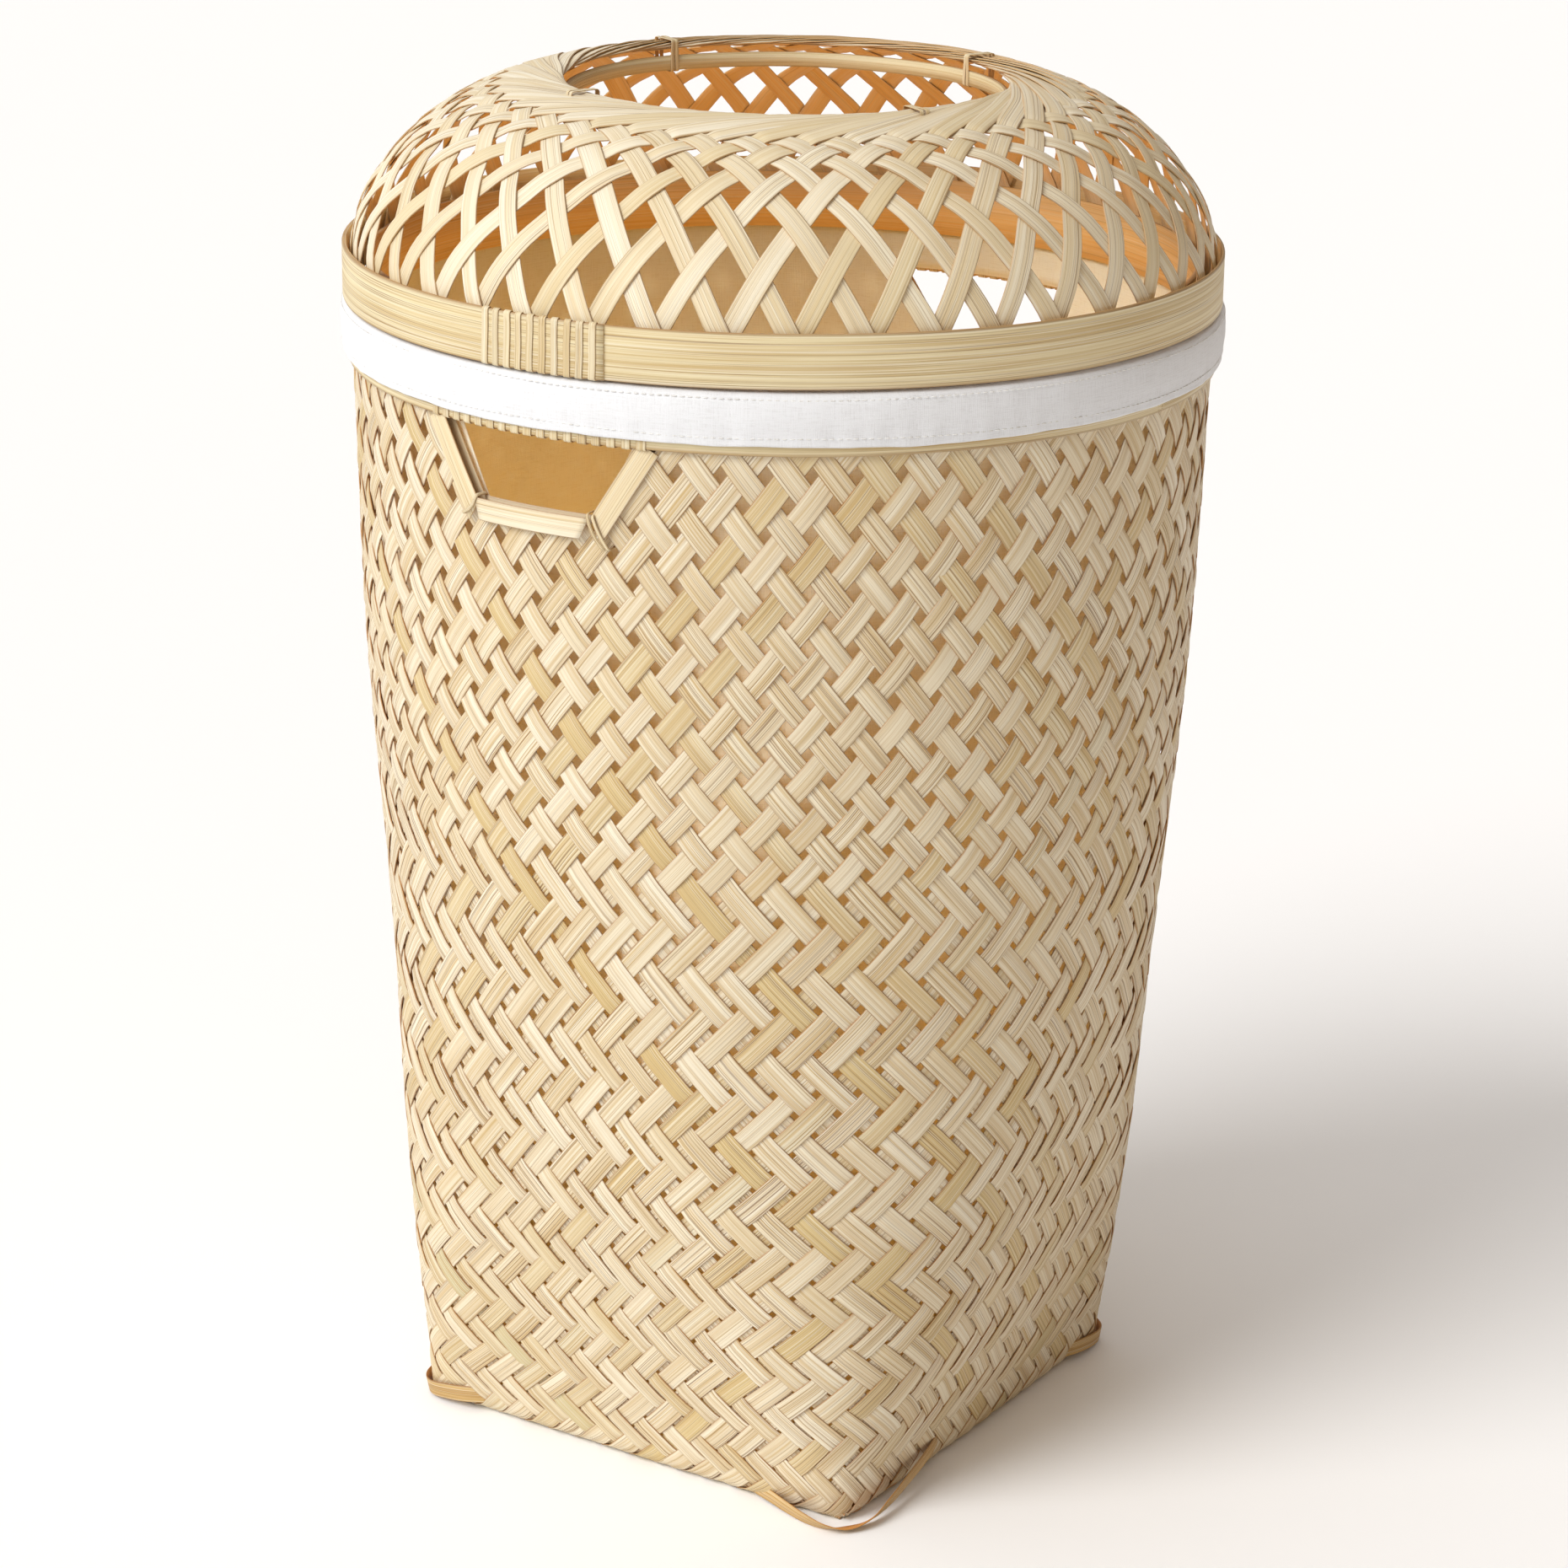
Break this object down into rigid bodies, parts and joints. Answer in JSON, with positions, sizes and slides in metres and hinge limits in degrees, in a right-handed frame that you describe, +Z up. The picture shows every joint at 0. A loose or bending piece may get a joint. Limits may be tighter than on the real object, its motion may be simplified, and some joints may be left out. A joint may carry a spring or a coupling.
{
  "type": "lidded laundry basket",
  "caption": "Tall plaited bamboo laundry basket with a square base, round rim, grip openings, cotton liner and a domed open-weave lid with a round hole.",
  "frame": {"origin": "on the floor under the middle of the square base", "axes": "+Z up; the grip openings face -Y and +Y, and the base's sides lie along X and Y"},
  "size_m": [0.4119, 0.412, 0.6561],
  "materials": {
    "bamboo_weave": "satin, split bamboo strips with fine lengthwise grain",
    "bamboo_hoop": "satin, split bamboo with fine fibres along the hoop",
    "bamboo_lashing": "satin, thin pale split bamboo",
    "cotton": "plain woven cotton",
    "elastic": "covered flat elastic"
  },
  "bodies": {
    "basket": {"back_grip_inner_trim": "bamboo_hoop", "back_grip_lashing": "bamboo_lashing", "back_grip_outer_trim": "bamboo_hoop", "back_left_corner_loop": "bamboo_lashing", "back_left_trim_tie": "bamboo_lashing", "back_right_corner_loop": "bamboo_lashing", "back_right_trim_tie": "bamboo_lashing", "front_grip_inner_trim": "bamboo_hoop", "front_grip_lashing": "bamboo_lashing", "front_grip_outer_trim": "bamboo_hoop", "front_left_corner_loop": "bamboo_lashing", "front_left_trim_tie": "bamboo_lashing", "front_right_corner_loop": "bamboo_lashing", "front_right_trim_tie": "bamboo_lashing", "rim_inner_hoop": "bamboo_hoop", "rim_outer_hoop": "bamboo_hoop", "woven_body": "bamboo_weave"},
    "liner": {"liner_bag": "cotton", "liner_cuff": "cotton", "cuff_elastic": "elastic"},
    "lid": {"woven_lid": "bamboo_weave", "lid_outer_hoop": "bamboo_hoop", "lid_inner_hoop": "bamboo_hoop", "lid_hoop_lashing": "bamboo_lashing", "hole_hoop": "bamboo_hoop", "front_left_hole_tie": "bamboo_lashing", "front_right_hole_tie": "bamboo_lashing", "back_left_hole_tie": "bamboo_lashing", "back_right_hole_tie": "bamboo_lashing"}
  },
  "joints": [
    {"name": "liner_lift", "type": "slide", "parent": "basket", "child": "liner", "axis": [0, 0, 1], "range_m": [0, 0.56]},
    {"name": "lid_lift", "type": "slide", "parent": "liner", "child": "lid", "axis": [0, 0, 1], "range_m": [0, 0.2]}
  ]
}
